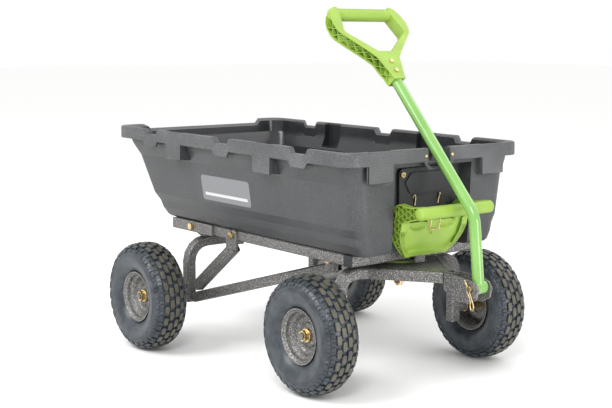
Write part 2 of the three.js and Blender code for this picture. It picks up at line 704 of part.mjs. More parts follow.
// ---- handle: bent tube on a cross sleeve, D-shaped grip and its screws ----
const handle_radius = handle_tube_diameter / 2;
const handle_path = bent([
  [handle_pin_x, 0, handle_pin_z],
  [handle_bend_x, 0, handle_bend_z],
  [handle_end_x, 0, handle_end_z],
], 65, 6);
const cross_sleeve = rod([handle_pin_x, -16, handle_pin_z], [handle_pin_x, 16, handle_pin_z], 14, 24);
const handle_tube = swept(round(handle_radius, 20), handle_path);
piece('pull_tube', add(handle_tube, cross_sleeve).subtract(pin_hole), green);
const clevis_pin = rod([handle_pin_x, -30, handle_pin_z], [handle_pin_x, 30, handle_pin_z], 6, 16);
const pin_head = rod([handle_pin_x, 22.4, handle_pin_z], [handle_pin_x, 28, handle_pin_z], 10, 20);
piece('clevis_pin', clevis_pin.add(pin_head), zinc);
const clip_ends = [[-7.6, -4], [-7.6, -42], [7.6, -42], [7.6, 0]];
const clip_at = ([x, z]) => [handle_pin_x + x, -26.5, handle_pin_z + z];
const clip_path = bent(clip_ends.map(clip_at), 6, 3);
piece('hairpin_clip', swept(round(1.4, 8), clip_path), zinc);

const grip_half = grip_width / 2;
const grip_thick = handle_tube_diameter + 4;
const grip_foot = handle_radius + 5.5;
const grip_outline = [
  [grip_foot, 0],
  [20, 32],
  [38, 66],
  [grip_half - 5, 146],
  [grip_half, 168],
  [grip_half - 9, 186],
  [grip_half - 30, 195],
  [-grip_half + 30, 195],
  [-grip_half + 9, 186],
  [-grip_half, 168],
  [-grip_half + 5, 146],
  [-38, 66],
  [-20, 32],
  [-grip_foot, 0],
];
const grip_opening = [
  [30, 88],
  [grip_half - 26, 148],
  [grip_half - 34, 166],
  [-grip_half + 34, 166],
  [-grip_half + 26, 148],
  [-30, 88],
];
const grip_shape = outline(grip_outline);
grip_shape.holes.push(new THREE.Path(grip_opening.map(([u, v]) => new THREE.Vector2(u, v))));
const grip_geometry = new THREE.ExtrudeGeometry(grip_shape, { depth: grip_thick, bevelEnabled: false });
grip_geometry.translate(0, 0, -grip_thick / 2);
// outline u -> Y, outline v -> along the handle, thickness -> across it
const along = new THREE.Vector3(-0.65, 0, 0.76).normalize();
const sideways = new THREE.Vector3(0, 1, 0);
const through = sideways.clone().cross(along);
const stand = new THREE.Matrix4().makeBasis(sideways, along, through);
grip_geometry.applyMatrix4(stand);
grip_geometry.translate(handle_end_x, 0, handle_end_z);
let d_grip = solid(grip_geometry);
const socket_path = [handle_path[handle_path.length - 2], handle_path[handle_path.length - 1]];
const socket_way = socket_path[1].clone().sub(socket_path[0]).normalize();
const socket_end = socket_path[1].clone().addScaledVector(socket_way, 1);
const socket_start = socket_path[1].clone().addScaledVector(socket_way, -80);
d_grip = d_grip.subtract(rod(socket_start.toArray(), socket_end.toArray(), handle_radius + touch_gap, 20));
const face_at = (side, v) => [
  handle_end_x + along.x * v + through.x * side,
  0,
  handle_end_z + along.z * v + through.z * side,
];
const screw_at = { lower: 20, upper: 46 };
const inward = through.clone().negate().toArray();
for (const [level_name, v] of Object.entries(screw_at)) {
  const top = grip_thick / 2;
  d_grip = d_grip.subtract(rod(face_at(top - 7, v), face_at(top + 5, v), 2.9, 12));
  const screw = bolt(face_at(top + touch_gap, v), inward, 2.5, 6, 5.5, 3);
  piece(`grip_screw_${level_name}`, screw, zinc);
}
piece('d_grip', d_grip, lime);

export default group;
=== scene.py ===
import math

import bmesh
import bpy
from mathutils import Matrix, Vector


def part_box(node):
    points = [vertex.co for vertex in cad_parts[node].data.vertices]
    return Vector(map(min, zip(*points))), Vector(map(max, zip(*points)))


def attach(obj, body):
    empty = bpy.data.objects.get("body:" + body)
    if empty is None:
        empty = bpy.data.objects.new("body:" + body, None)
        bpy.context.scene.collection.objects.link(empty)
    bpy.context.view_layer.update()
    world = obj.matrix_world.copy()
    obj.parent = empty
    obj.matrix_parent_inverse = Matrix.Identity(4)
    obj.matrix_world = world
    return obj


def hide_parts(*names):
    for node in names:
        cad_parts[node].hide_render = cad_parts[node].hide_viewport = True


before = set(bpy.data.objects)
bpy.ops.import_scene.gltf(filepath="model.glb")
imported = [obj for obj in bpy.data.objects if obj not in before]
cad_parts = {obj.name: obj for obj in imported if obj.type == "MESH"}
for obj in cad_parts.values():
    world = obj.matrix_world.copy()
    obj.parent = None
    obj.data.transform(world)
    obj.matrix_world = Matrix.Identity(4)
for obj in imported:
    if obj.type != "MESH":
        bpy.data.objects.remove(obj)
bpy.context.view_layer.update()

# ---- Viewpoint ----
# The cart is seen from its front right corner, a little above the tub's rim.
# One long lens stands about three metres away, so the sides hardly converge.
eye = bpy.data.cameras.new("viewpoint")
eye.sensor_width = 36
eye.lens = 73.94
eye.shift_x = -0.139
eye.shift_y = -0.0296
eye.clip_end = 60
viewpoint = bpy.data.objects.new("viewpoint", eye)
bpy.context.scene.collection.objects.link(viewpoint)
bpy.context.scene.camera = viewpoint
looking = Vector((-0.749, 0.651, -0.124)).normalized()
viewpoint.matrix_world = (
    Matrix.Translation((2.352, -1.8333, 0.7755))
    @ looking.to_track_quat("-Z", "Y").to_matrix().to_4x4()
    @ Matrix.Rotation(0.008, 4, "Z")
)

# ---- Frame, axles and rails: hammer-finish steel tube ----
# Square steel tube of 25 mm is bent, welded and sprayed with a hammer-finish paint.
# The paint pulls into silver islands under 2 mm across on a grey ground.
MM = 0.001
rear_axle_x = sum(p.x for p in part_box("tyre_rear_r")) / 2


def at(x, y, z):
    return Vector((rear_axle_x + x * MM, y * MM, z * MM))


def shade(code):
    parts = [int(code[i:i + 2], 16) / 255 for i in (1, 3, 5)]
    linear = [c / 12.92 if c <= 0.04045 else ((c + 0.055) / 1.055) ** 2.4 for c in parts]
    return (*linear, 1)


def add_node(tree, kind, inputs=None, links=None, **settings):
    made = tree.nodes.new("ShaderNode" + kind)
    for name, value in settings.items():
        setattr(made, name, value)
    for name, value in (inputs or {}).items():
        made.inputs[name].default_value = value
    for name, socket in (links or {}).items():
        tree.links.new(socket, made.inputs[name])
    return made


def new_finish(name, **base):
    made = bpy.data.materials.new(name)
    made.use_nodes = True
    tree = made.node_tree
    shader = tree.nodes["Principled BSDF"]
    for key, value in base.items():
        shader.inputs[key.replace("_", " ")].default_value = value
    where = add_node(tree, "TexCoord").outputs["Object"]
    return made, tree, shader, where


def spread(ramp, stops):
    marks = ramp.color_ramp.elements
    while len(marks) < len(stops):
        marks.new(0.5)
    for mark, (place, code) in zip(marks, stops):
        mark.position = place
        mark.color = shade(code)
    return ramp.outputs["Color"]


hammered, tree, shader, where = new_finish("hammer-finish paint", Metallic=0.5)
# Islands are 1.8 mm across, about the size that this paint forms.
islands = add_node(tree, "TexVoronoi", {"Scale": 1 / 0.0018}, {"Vector": where}, feature="SMOOTH_F1")
islands.inputs["Smoothness"].default_value = 0.35
drift = add_node(tree, "TexNoise", {"Scale": 1 / 0.003, "Detail": 3.0}, {"Vector": where})
mixed = add_node(tree, "Math", {}, {}, operation="ADD")
tree.links.new(islands.outputs["Distance"], mixed.inputs[0])
tree.links.new(drift.outputs["Fac"], mixed.inputs[1])
ramp = add_node(tree, "ValToRGB", {}, {"Fac": mixed.outputs[0]})
paint = spread(ramp, [(0.5, "#cfcdc8"), (0.76, "#a09e9b"), (1.0, "#5a5a59")])
tree.links.new(paint, shader.inputs["Base Color"])
sheen = add_node(tree, "MapRange", {"From Min": 0.5, "From Max": 1.1, "To Min": 0.26, "To Max": 0.5})
tree.links.new(mixed.outputs[0], sheen.inputs["Value"])
tree.links.new(sheen.outputs["Result"], shader.inputs["Roughness"])
dimple = add_node(tree, "Bump", {"Strength": 0.55, "Distance": 0.0006}, {"Height": mixed.outputs[0]})
dimple.invert = True
tree.links.new(dimple.outputs["Normal"], shader.inputs["Normal"])


def soften(piece, width, angle=30):
    soft = piece.modifiers.new("broken edges", "BEVEL")
    soft.width = width * MM
    soft.segments = 2
    soft.angle_limit = math.radians(angle)
    soft.harden_normals = True


def dress(names, finish, edge=0.8):
    for name in names:
        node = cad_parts[name]
        mesh = node.data
        if "custom_normal" in mesh.attributes:
            mesh.attributes.remove(mesh.attributes["custom_normal"])
        mesh.materials.clear()
        mesh.materials.append(finish)
        mesh.polygons.foreach_set("use_smooth", [True] * len(mesh.polygons))
        weld = node.modifiers.new("joined corners", "WELD")
        weld.merge_threshold = 0.00002
        soften(node, edge, 32)


dress(
    ["rear_axle_arch", "diagonal_brace_r", "diagonal_brace_l", "lower_beam_r", "lower_beam_l",
     "kingpin_carrier", "steering_axle", "tongue_clevis", "side_rail_r", "side_rail_l",
     "rail_splice_r", "rail_splice_l", "front_cross_rail"],
    hammered,
)

# ---- Bolts, nuts, washers and pins: yellow zinc-plated steel ----
# Each fixing is rolled or turned steel with a thin yellow passivated zinc plate.
# The plate is brassy with a faint pink and green bloom, and it stays bright.
zinc, tree, shader, where = new_finish("yellow zinc plate", Metallic=1.0)
bloom = add_node(tree, "TexNoise", {"Scale": 1 / 0.009, "Detail": 4.0}, {"Vector": where})
ramp = add_node(tree, "ValToRGB", {}, {"Fac": bloom.outputs["Fac"]})
plate_colour = spread(ramp, [(0.34, "#bfa063"), (0.5, "#dfcb98"), (0.66, "#d2b79c")])
tree.links.new(plate_colour, shader.inputs["Base Color"])
wear = add_node(tree, "MapRange", {"To Min": 0.18, "To Max": 0.42}, {"Value": bloom.outputs["Fac"]})
tree.links.new(wear.outputs["Result"], shader.inputs["Roughness"])
# Turning marks are 0.3 mm apart and are drawn at 0.6 mm so that they show.
marks = add_node(tree, "TexNoise", {"Scale": 1 / 0.0006, "Detail": 2.0}, {"Vector": where})
fine = add_node(tree, "Bump", {"Strength": 0.12, "Distance": 0.0002}, {"Height": marks.outputs["Fac"]})
tree.links.new(fine.outputs["Normal"], shader.inputs["Normal"])
corners = ["rear_r", "rear_l", "front_r", "front_l"]
fixings = ["kingpin_bolt", "kingpin_nut", "lever_pivot_pin", "clevis_pin"]
fixings += ["grip_screw_lower", "grip_screw_upper"]
for kind in ["tilt_pivot_bolt", "rest_tab_bolt", "carrier_bolt", "rail_splice_bolt", "panel_bolt"]:
    fixings += [kind + "_r", kind + "_l"]
for corner in corners:
    fixings += ["axle_washer_" + corner, "axle_nut_" + corner, "hub_sleeve_" + corner]
dress(fixings, zinc, edge=0.6)

# ---- Tyres: moulded pneumatic tyres with block tread ----
# Carbon-black rubber is moulded with ribs on the sidewall and four rows of blocks a side.
# The sidewall has a bluish sheen, and the crown blocks wear to a dusty brown.


def rubber(name, stops, low, high):
    made, tree, shader, where = new_finish(name, IOR=1.52)
    film = add_node(tree, "TexNoise", {"Scale": 1 / 0.02, "Detail": 5.0}, {"Vector": where})
    ramp = add_node(tree, "ValToRGB", {}, {"Fac": film.outputs["Fac"]})
    tree.links.new(spread(ramp, stops), shader.inputs["Base Color"])
    gloss = add_node(tree, "MapRange", {"To Min": low, "To Max": high}, {"Value": film.outputs["Fac"]})
    tree.links.new(gloss.outputs["Result"], shader.inputs["Roughness"])
    # Mould skin has a grain of about 0.5 mm, drawn at 1.2 mm so that it shows.
    skin = add_node(tree, "TexNoise", {"Scale": 1 / 0.0012, "Detail": 2.0}, {"Vector": where})
    rough = add_node(tree, "Bump", {"Strength": 0.25, "Distance": 0.0003}, {"Height": skin.outputs["Fac"]})
    tree.links.new(rough.outputs["Normal"], shader.inputs["Normal"])
    return made


sidewall_rubber = rubber("moulded tyre rubber", [(0.35, "#252a2f"), (0.65, "#3d444b")], 0.22, 0.44)
crown_rubber = rubber("dusty tread rubber", [(0.35, "#46433a"), (0.65, "#5b5849")], 0.36, 0.58)


def mesh_piece(name, points, faces, finishes, body, stands_for=(), sharp=35, marks=None):
    mesh = bpy.data.meshes.new(name)
    mesh.from_pydata([tuple(p) for p in points], [], faces)
    for finish in finishes:
        mesh.materials.append(finish)
    if marks:
        mesh.polygons.foreach_set("material_index", marks)
    shaped = bmesh.new()
    shaped.from_mesh(mesh)
    bmesh.ops.recalc_face_normals(shaped, faces=shaped.faces)
    shaped.to_mesh(mesh)
    shaped.free()
    mesh.polygons.foreach_set("use_smooth", [True] * len(mesh.polygons))
    mesh.set_sharp_from_angle(angle=math.radians(sharp))
    made = bpy.data.objects.new(name, mesh)
    bpy.context.scene.collection.objects.link(made)
    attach(made, body)
    if stands_for:
        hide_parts(*stands_for)
    return made


wheel_r = 130
carcass = [
    (58, 23), (61, 26.5), (64, 30.5), (69, 35), (76, 39.5), (84, 42.3), (92, 43.4), (96, 43.4),
    (96.6, 44), (98.4, 44), (99, 43), (101, 42.7), (101.6, 43.4), (103.4, 43.2), (104, 42.2),
    (109, 40.2), (114, 36.6), (118, 31.4), (121, 25), (123, 17), (124, 8), (124, 0),
]


def crown_at(reach):
    walked = 0
    for a, b in zip(carcass[::-1], carcass[-2::-1]):
        step = math.dist(a, b)
        if walked + step >= reach:
            t = (reach - walked) / step
            r, y = a[0] + (b[0] - a[0]) * t, a[1] + (b[1] - a[1]) * t
            out = ((b[1] - a[1]) / step, -(b[0] - a[0]) / step)
            return r, y, out
        walked += step


# Outlines of a V lug's two arms and of a crown block, in units of half a block.
half_v = [(-1, -1), (-0.1, -1), (0.25, 0), (-0.1, 1), (-1, 1), (-0.75, 0)]
other_v = [(0.1, -1), (1, -1), (1, 1), (0.1, 1), (0.45, 0)]
chunk = [(-1, -0.7), (-0.7, -1), (0.8, -1), (1, -0.5), (1, 0.7), (0.7, 1), (-0.8, 1), (-1, 0.5)]
pitches = 28
crown = 1
side_skin = 0
# Each row: distance from the crown's middle, half width, half length, height, phase, finish, outlines.
rows = [
    (6.8, 5.2, 11.0, 5.6, 0.0, crown, [chunk]),
    (19.0, 5.0, 10.6, 5.4, 0.5, crown, [chunk]),
    (30.5, 4.6, 10.4, 4.2, 0.0, side_skin, [half_v, other_v]),
    (41.0, 3.8, 10.0, 2.6, 0.5, side_skin, [half_v, other_v]),
]


def tyre(corner):
    low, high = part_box("tyre_" + corner)
    hub = (low + high) / 2
    points, faces, marks = [], [], []
    section = carcass + [(r, -y) for r, y in carcass[-2::-1]] + [(55.2, -20), (55.2, 20)]
    turns = 112
    for k in range(turns):
        a = 2 * math.pi * k / turns
        for r, y in section:
            points.append(hub + Vector((r * math.cos(a), y, r * math.sin(a))) * MM)
    count = len(section)
    for k in range(turns):
        for i in range(count):
            j, m = (i + 1) % count, (k + 1) % turns
            faces.append((k * count + i, k * count + j, m * count + j, m * count + i))
            marks.append(side_skin)
    # A block has three rings: its foot in the carcass, its shoulder and its worn top.
    for side in (-1, 1):
        for reach, half_w, half_l, height, phase, mark, outlines in rows:
            for k in range(pitches):
                middle = 2 * math.pi * (k + phase + 0.25 * (side > 0)) / pitches
                for outline in outlines:
                    first = len(points)
                    for lift, scale in ((-1.2, 1.06), (height - 0.8, 1.0), (height, 0.88)):
                        for u, v in outline:
                            r, y, out = crown_at(reach + v * half_w * scale)
                            r, y = r + out[0] * lift, y + out[1] * lift
                            a = middle + u * half_l * scale / wheel_r
                            spot = Vector((r * math.cos(a), side * y, r * math.sin(a)))
                            points.append(hub + spot * MM)
                    n = len(outline)
                    for ring in (0, 1):
                        for i in range(n):
                            p, q = first + ring * n + i, first + ring * n + (i + 1) % n
                            faces.append((p, q, q + n, p + n))
                            marks.append(side_skin)
                    faces.append(tuple(first + 2 * n + i for i in range(n)))
                    marks.append(mark)
                    faces.append(tuple(first + n - 1 - i for i in range(n)))
                    marks.append(side_skin)
    mesh_piece("treaded_tyre_" + corner, points, faces, [sidewall_rubber, crown_rubber],
               "wheel_" + corner, ["tyre_" + corner], marks=marks)


for corner in corners:
    tyre(corner)

# ---- Wheel rims: pressed steel, deep dished ----
# Two pressed halves are welded round a flanged hub and sprayed with the frame's paint.
# The bowl is deep on the outboard side, with a rolled flange that holds the tyre's bead.
bowl = [
    (60.3, 29.6), (61.0, 30.6), (60.6, 31.6), (59.4, 32.0), (58.0, 31.6), (56.8, 30.4), (55.6, 28.6),
    (53.6, 27.4), (52.0, 26.4), (51.4, 24.6), (51.0, 18.4), (49.8, 16.6), (46.6, 15.6), (44.6, 14.2),
    (42.0, 7.6), (39.6, 3.6), (36.0, 1.4), (31.0, 1.0), (27.4, 1.0), (26.2, 2.0), (25.6, 4.6),
    (24.2, 6.0), (20.0, 6.6), (15.6, 6.8), (14.4, 6.0), (14.4, 3.4), (20.0, 3.2), (22.6, 1.4),
    (24.0, -1.4), (31.0, -1.8), (37.0, -1.2), (41.6, 1.6), (44.6, 6.8), (47.0, 12.2), (51.4, 13.4),
    (51.4, -24.6), (52.0, -26.4), (55.6, -28.6), (58.0, -31.6), (59.4, -32.0), (60.6, -31.6),
    (61.0, -30.6), (60.3, -29.6), (57.2, -27.6), (54.4, -24.4), (54.4, 24.4), (57.2, 27.6),
]


def turned(name, profile, hub, side, turns, finish, body, stands_for=()):
    points, faces = [], []
    count = len(profile)
    for k in range(turns):
        a = 2 * math.pi * k / turns
        for r, y in profile:
            points.append(hub + Vector((r * math.cos(a), side * y, r * math.sin(a))) * MM)
        for i in range(count):
            j, m = (i + 1) % count, (k + 1) % turns
            faces.append((k * count + i, k * count + j, m * count + j, m * count + i))
    mesh_piece(name, points, faces, [finish], body, stands_for, sharp=40)


for corner in corners:
    low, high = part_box("tyre_" + corner)
    outboard = -1 if corner.endswith("_r") else 1
    turned("dished_rim_" + corner, bowl, (low + high) / 2, outboard, 80, hammered,
           "wheel_" + corner, ["wheel_rim_" + corner])

# ---- Tub: rotomoulded polyethylene ----
# Polyethylene powder is melted inside a heated mould that turns, so the wall is even.
# It is charcoal with a fine pale fleck, matt outside and slicker on the inner wall, whose darker shades
# are painted shade inside the tub.


def rotomoulded(name, stops, low, high, depth):
    made, tree, shader, where = new_finish(name, IOR=1.51)
    cloud = add_node(tree, "TexNoise", {"Scale": 1 / 0.11, "Detail": 4.0}, {"Vector": where})
    # Powder flecks are under 1 mm and are drawn at 1.6 mm so that they show.
    fleck = add_node(tree, "TexNoise", {"Scale": 1 / 0.0016, "Detail": 2.0}, {"Vector": where})
    blend = add_node(tree, "Math", {1: 0.35}, {0: cloud.outputs["Fac"]}, operation="MULTIPLY")
    total = add_node(tree, "Math", {}, {0: fleck.outputs["Fac"], 1: blend.outputs[0]}, operation="ADD")
    ramp = add_node(tree, "ValToRGB", {}, {"Fac": total.outputs[0]})
    tree.links.new(spread(ramp, stops), shader.inputs["Base Color"])
    skin = add_node(tree, "MapRange", {"To Min": low, "To Max": high}, {"Value": cloud.outputs["Fac"]})
    tree.links.new(skin.outputs["Result"], shader.inputs["Roughness"])
    relief = {"Strength": depth, "Distance": 0.0004}
    pebble = add_node(tree, "Bump", relief, {"Height": fleck.outputs["Fac"]})
    tree.links.new(pebble.outputs["Normal"], shader.inputs["Normal"])
    return made


outer_shades = [(0.45, "#2d2e30"), (0.68, "#38393b"), (0.86, "#4e4f51")]
# The inner wall is the same charcoal as the outside, darkened to paint the shade inside the tub.
inner_painted_shade_stops = [(0.45, "#1f2022"), (0.68, "#27282a"), (0.86, "#303134")]
rim_shades = [(0.45, "#333436"), (0.68, "#474849"), (0.86, "#6f7072")]
tub_poly = rotomoulded("polyethylene, outer wall", outer_shades, 0.36, 0.52, 0.2)
tub_inner_painted_shade = rotomoulded("polyethylene, inner wall with painted shade", inner_painted_shade_stops, 0.16, 0.3, 0.08)
tub_rim = rotomoulded("polyethylene, rim", rim_shades, 0.4, 0.56, 0.45)

tub_back, tub_front, tub_half = -250, 694, 254
wall = 5
wall_table = [
    # height, rear inset, front inset, side inset, corner radius
    (299.4, 131, 26, 70, 22), (325, 114, 23, 57, 26), (343, 106, 22, 52, 30), (362, 94, 20, 41, 34),
    (455, 48, 16, 28, 38), (482, 32, 14, 16, 40), (491, 26, 13, 14, 40), (520, 24, 13, 13, 40),
    (530, 24, 13, 13, 40),
]
stake_x, stake_y, stake_half = (27, 393), 163, 33
# The rim is scooped three times a side and once across the rear.
dip_x, dip_depth, dip_half, dip_run = (-82, 231, 526), 13, 25, 9
rear_dip_depth, rear_dip_half, rear_dip_run = 12, 176, 10
recess_x, recess_y, shelf_z = 638, 115, 489
notch_x, notch_y = 652, 32
side_first, side_last, end_last = -214, 658, 218
# A station keeps its place at every height inside these limits and leans with the corner beyond.
steady_x, steady_y = (-13, 470), 120
rim_corner, stake_start, stake_foot, stake_lip = 36, 462, 460, 458


def wall_at(z):
    for a, b in zip(wall_table, wall_table[1:]):
        if z <= b[0]:
            t = (z - a[0]) / (b[0] - a[0])
            return [a[i] + (b[i] - a[i]) * t for i in range(1, 5)]


# Levels of the inner skin, over the rim and down its outer face: height, kind, inset.
levels = [(304.4, "wall", 7), (305.6, "wall", 2.2), (309, "wall", 0), (318, "wall", 0)]
levels += [(z, "wall", 0) for z in (325, 334, 343, 352, 362, 372, 400, 430, 448, 455, 461)]
levels += [(z, "wall", 0) for z in (463.5, 482, 488.4, 489.8, 500, 519.5)]
levels += [(523.2, "rim", 16.6), (525, "rim", 13), (525, "rim", 4), (524.2, "rim", 1.3)]
levels += [(521, "rim", 0), (508, "rim", 0), (497, "rim", 0), (495, "rim", 0.8)]

stations = []
side_marks = set()
for x in dip_x:
    side_marks |= {x - dip_half - dip_run, x - dip_half, x, x + dip_half, x + dip_half + dip_run}
for x in stake_x:
    side_marks |= {x - stake_half + 0.8, x - stake_half, x, x + stake_half, x + stake_half - 0.8}
side_marks |= {side_first, -150, -120, -30, 70, 100, 150, 300, 350, 460, 600, 630, side_last}
end_marks = {0}
for y in (12, notch_y - 0.3, notch_y, 60, 90, recess_y - 2, recess_y, stake_y - stake_half,
          stake_y - stake_half + 0.8, stake_y, stake_y + stake_half - 0.8, stake_y + stake_half,
          rear_dip_half, rear_dip_half + rear_dip_run, 210, end_last):
    end_marks |= {y, -y}
# The stations go once round the tub: a side, then the rounded corner that ends it.
for kind, places, sx, sy, start in (("right", sorted(side_marks), 1, -1, -90),
                                    ("front", sorted(end_marks), 1, 1, 0),
                                    ("left", sorted(side_marks, reverse=True), -1, 1, 90),
                                    ("rear", sorted(end_marks, reverse=True), -1, -1, 180)):
    stations += [(kind, place) for place in places]
    stations += [("corner", (sx, sy, start + 90 * k / 12)) for k in range(1, 12)]


def lean(value, low, high, ends, from_low, from_high):
    if value < from_low:
        return value + (ends[0] - low) * (from_low - value) / (from_low - low)
    if value > from_high:
        return value + (ends[1] - high) * (value - from_high) / (high - from_high)
    return value


def tub_point(kind, place, level):
    z, form, inset = level
    in_stake = False
    if kind in ("right", "left"):
        in_stake = any(abs(place - x) < stake_half - 0.5 for x in stake_x)
    if kind == "front":
        in_stake = abs(abs(place) - stake_y) < stake_half - 0.5
    if form == "wall" and not (in_stake and z > stake_start):
        rear, front, side, corner = wall_at(z)
        rear, front, side = rear + wall + inset, front + wall + inset, side + wall + inset
        corner -= wall
    else:
        if in_stake:
            inset = {13: 5.2, 16.6: 6}.get(inset, inset) if form == "rim" else 6
        rear = front = side = inset
        corner = rim_corner - min(inset, wall)
    x0, x1, half = tub_back + rear, tub_front - front, tub_half - side
    if kind in ("right", "left"):
        x = lean(place, side_first, side_last, (x0 + corner, x1 - corner), *steady_x)
        y = -half if kind == "right" else half
    elif kind in ("front", "rear"):
        y = lean(place, -end_last, end_last, (corner - half, half - corner), -steady_y, steady_y)
        x = x1 if kind == "front" else x0
    else:
        sx, sy, turn = place
        a = math.radians(turn)
        x = (x1 - corner if sx > 0 else x0 + corner) + corner * math.cos(a)
        y = sy * (half - corner) + corner * math.sin(a)
    if kind == "front" and abs(place) < recess_y - 1 and z < shelf_z:
        x = min(x, recess_x)
    if kind == "front" and abs(place) < notch_y - 0.1 and z > shelf_z and form == "wall":
        x = notch_x
    if kind in ("right", "left") and z > 485:
        for middle in dip_x:
            fall = min(1, max(0, 1 - (abs(place - middle) - dip_half) / dip_run))
            z -= dip_depth * fall * (1 if z > 494 else (z - 485) / 10)
    if kind == "rear" and z > 505:
        fall = min(1, max(0, 1 - (abs(place) - rear_dip_half) / rear_dip_run))
        z -= rear_dip_depth * fall * (1 if z > 515 else 0.3)
    if in_stake and form == "rim" and level[0] < 500:
        z = stake_foot if level[0] > 496 else stake_lip
    return at(x, y, z)


points = [tub_point(kind, place, level) for level in levels for kind, place in stations]
count = len(stations)
shelf_level = next(i for i, level in enumerate(levels) if level[0] > shelf_z)
rim_level = next(i for i, level in enumerate(levels) if level[1] == "rim")
inner_skin, rim_skin = 0, 2
faces, marks = [tuple(range(count))], [inner_skin]
for k in range(len(levels) - 1):
    for i in range(count):
        j = (i + 1) % count
        cut = all(stations[n][0] == "front" and abs(stations[n][1]) <= notch_y for n in (i, j))
        if not (cut and k >= shelf_level):
            faces.append((k * count + i, k * count + j, (k + 1) * count + j, (k + 1) * count + i))
            marks.append(rim_skin if k >= rim_level - 1 else inner_skin)
for y in (-notch_y, notch_y):
    edge = stations.index(("front", y))
    faces.append(tuple(k * count + edge for k in range(shelf_level, len(levels))))
    marks.append(rim_skin)
# The sheet is the inner skin and the rim. The thickness adds the outer wall and the rim's
# underside, which take the finish that follows their own in the list.
skins = [tub_inner_painted_shade, tub_poly, tub_rim, tub_poly]
tub = mesh_piece("moulded_tub", points, faces, skins, "tub_body", ["tub"],
                 sharp=11, marks=marks)
thicken = tub.modifiers.new("wall thickness", "SOLIDIFY")
thicken.thickness = wall * MM
thicken.offset = -1
thicken.use_rim = True
thicken.material_offset = 1
thicken.material_offset_rim = 1

# ---- Wall label: a plain printed vinyl panel ----
# Grey vinyl film is die-cut with round corners and stuck on the right-hand wall.
# It is blank apart from one straight pale stripe.


def vinyl(name, code):
    made, tree, shader, where = new_finish(name, IOR=1.46)
    print_grain = add_node(tree, "TexNoise", {"Scale": 1 / 0.002, "Detail": 2.0}, {"Vector": where})
    grain = print_grain.outputs["Fac"]
    ramp = add_node(tree, "ValToRGB", {}, {"Fac": grain})
    base = shade(code)
    ends = ramp.color_ramp.elements
    ends[0].position, ends[1].position = 0.3, 0.7
    ends[0].color = (*[c * 0.93 for c in base[:3]], 1)
    ends[1].color = (*[min(1, c * 1.05) for c in base[:3]], 1)
    tree.links.new(ramp.outputs["Color"], shader.inputs["Base Color"])
    gloss = add_node(tree, "MapRange", {"To Min": 0.3, "To Max": 0.42}, {"Value": grain})
    tree.links.new(gloss.outputs["Result"], shader.inputs["Roughness"])
    return made


def add_prism(points, faces, outline, place, low, high):
    first, n = len(points), len(outline)
    for w in (low, high):
        points += [place(u, v, w) for u, v in outline]
    faces.append(tuple(first + i for i in range(n)))
    faces.append(tuple(first + n + i for i in reversed(range(n))))
    for i in range(n):
        j = (i + 1) % n
        faces.append((first + i, first + n + i, first + n + j, first + j))


def on_wall(x, z, w):
    return at(x, -(tub_half - wall_at(z)[2]) - w, z)


def rounded(x0, z0, x1, z1, radius, steps=6):
    outline = []
    for cx, cz, turn in ((x1 - radius, z1 - radius, 0), (x0 + radius, z1 - radius, 90),
                         (x0 + radius, z0 + radius, 180), (x1 - radius, z0 + radius, 270)):
        for k in range(steps + 1):
            a = math.radians(turn + 90 * k / steps)
            outline.append((cx + radius * math.cos(a), cz + radius * math.sin(a)))
    return outline


label_parts = [
    ("label_panel", "#77797c", 0.6, rounded(100, 368, 300, 428, 8)),
    ("label_stripe", "#c4c6c8", 0.9, rounded(112, 380, 288, 387, 2)),
]
for name, code, proud, outline in label_parts:
    points, faces = [], []
    add_prism(points, faces, outline, on_wall, 0.1, proud)
    mesh_piece(name, points, faces, [vinyl("printed vinyl, " + name[6:], code)], "tub_body")

# ---- Handle-rest notch: down-turned tabs and their screws ----
# The rim is cut away in front so that the pull tube can lie in it.
# Each side of the cut is closed by a moulded tab that flares at its foot, with one small screw.


tab = [(47, 501), (40, 491), (30, 479), (12, 478), (32.4, 490), (32.4, 501)]
tab_back, tab_front = 688.6, 693.8
points, faces = [], []
for side in (-1, 1):
    add_prism(points, faces, tab, lambda u, v, w, s=side: at(w, s * u, v), tab_back, tab_front)
soften(mesh_piece("notch_tabs", points, faces, [tub_rim], "tub_body"), 1.0)
dome = [(0.02, 3.4), (1.6, 3.2), (3.0, 2.4), (3.8, 1.2), (4, 0), (0.02, 0)]
screw_x, screw_y, screw_z, turns = 693.4, 38, 508, 16
count = len(dome)
for side, tag in ((-1, "r"), (1, "l")):
    points, faces = [], []
    for k in range(turns):
        a = 2 * math.pi * k / turns
        for r, out in dome:
            y, z = side * screw_y + r * math.cos(a), screw_z + r * math.sin(a)
            points.append(at(screw_x + out, y, z))
        for i in range(count):
            j, m = (i + 1) % count, (k + 1) % turns
            faces.append((k * count + i, k * count + j, m * count + j, m * count + i))
    mesh_piece("notch_screw_" + tag, points, faces, [zinc], "tub_body")

# ---- Latch panel: injection-moulded black nylon ----
# A flat cover is bolted into the front recess and carries the lever's pin on two lugs.
# It has a raised six-sided field and two slots, drawn as flat black plates of painted shade, that show the
# ends of the latch wires.


def moulded(name, stops, low, high, grain):
    made, tree, shader, where = new_finish(name, IOR=1.5)
    flow = add_node(tree, "TexNoise", {"Scale": 1 / 0.05, "Detail": 4.0}, {"Vector": where})
    ramp = add_node(tree, "ValToRGB", {}, {"Fac": flow.outputs["Fac"]})
    tree.links.new(spread(ramp, stops), shader.inputs["Base Color"])
    gloss = add_node(tree, "MapRange", {"To Min": low, "To Max": high}, {"Value": flow.outputs["Fac"]})
    tree.links.new(gloss.outputs["Result"], shader.inputs["Roughness"])
    spark = add_node(tree, "TexNoise", {"Scale": 1 / grain, "Detail": 2.0}, {"Vector": where})
    bump = add_node(tree, "Bump", {"Strength": 0.2, "Distance": 0.0003}, {"Height": spark.outputs["Fac"]})
    tree.links.new(bump.outputs["Normal"], shader.inputs["Normal"])
    return made


